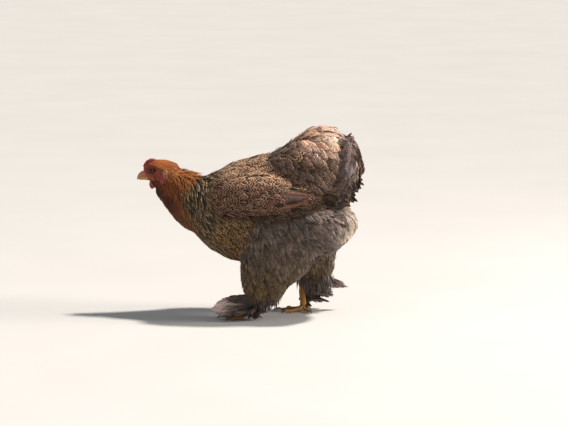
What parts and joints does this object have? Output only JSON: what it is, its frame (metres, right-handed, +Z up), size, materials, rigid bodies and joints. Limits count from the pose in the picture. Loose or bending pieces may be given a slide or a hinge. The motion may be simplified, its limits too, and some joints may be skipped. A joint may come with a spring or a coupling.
{
  "type": "hen",
  "caption": "Walking hen, life size, with a pea comb, full cushion tail, pencilled feathers and feathered feet.",
  "frame": {"origin": "middle of the hen's footprint, on the floor", "axes": "+Z up, the hen faces -X, its left side is at -Y"},
  "size_m": [0.463, 0.2198, 0.3893],
  "materials": {
    "gold_feathers": "soft gold feathers, black-centred on the lower hackle",
    "pencilled_feathers": "soft feathers, finely pencilled in dark and buff brown",
    "wing_feathers": "smooth feathers, finely pencilled, with darker striped quills",
    "tail_feathers": "broad dark feathers with grey down between them",
    "fluff": "soft grey-brown down",
    "foot_feathers": "dark feathers with pale tips",
    "red_skin": "bare red skin, finely folded",
    "horn": "smooth horn, yellow at the tip and darker at the base",
    "leg_scales": "yellow-orange scales",
    "claw": "smooth pale horn",
    "eye": "wet, orange-bay iris and black pupil"
  },
  "bodies": {
    "root": {"beak_lower": "horn", "beak_upper": "horn", "claw_back_left": "claw", "claw_back_right": "claw", "claw_inner_left": "claw", "claw_inner_right": "claw", "claw_middle_left": "claw", "claw_middle_right": "claw", "claw_outer_left": "claw", "claw_outer_right": "claw", "comb": "red_skin", "cushion": "pencilled_feathers", "earlobe_left": "red_skin", "earlobe_right": "red_skin", "eye_left": "eye", "eye_right": "eye", "fluff": "fluff", "foot_feathers_left": "foot_feathers", "foot_feathers_right": "foot_feathers", "head": "gold_feathers", "neck": "gold_feathers", "shank_left": "leg_scales", "shank_right": "leg_scales", "tail": "tail_feathers", "thigh_left": "fluff", "thigh_right": "fluff", "toe_back_left": "leg_scales", "toe_back_right": "leg_scales", "toe_inner_left": "leg_scales", "toe_inner_right": "leg_scales", "toe_middle_left": "leg_scales", "toe_middle_right": "leg_scales", "toe_outer_left": "leg_scales", "toe_outer_right": "leg_scales", "trunk": "pencilled_feathers", "wattle_left": "red_skin", "wattle_right": "red_skin", "wing_left": "wing_feathers", "wing_right": "wing_feathers"}
  },
  "joints": []
}
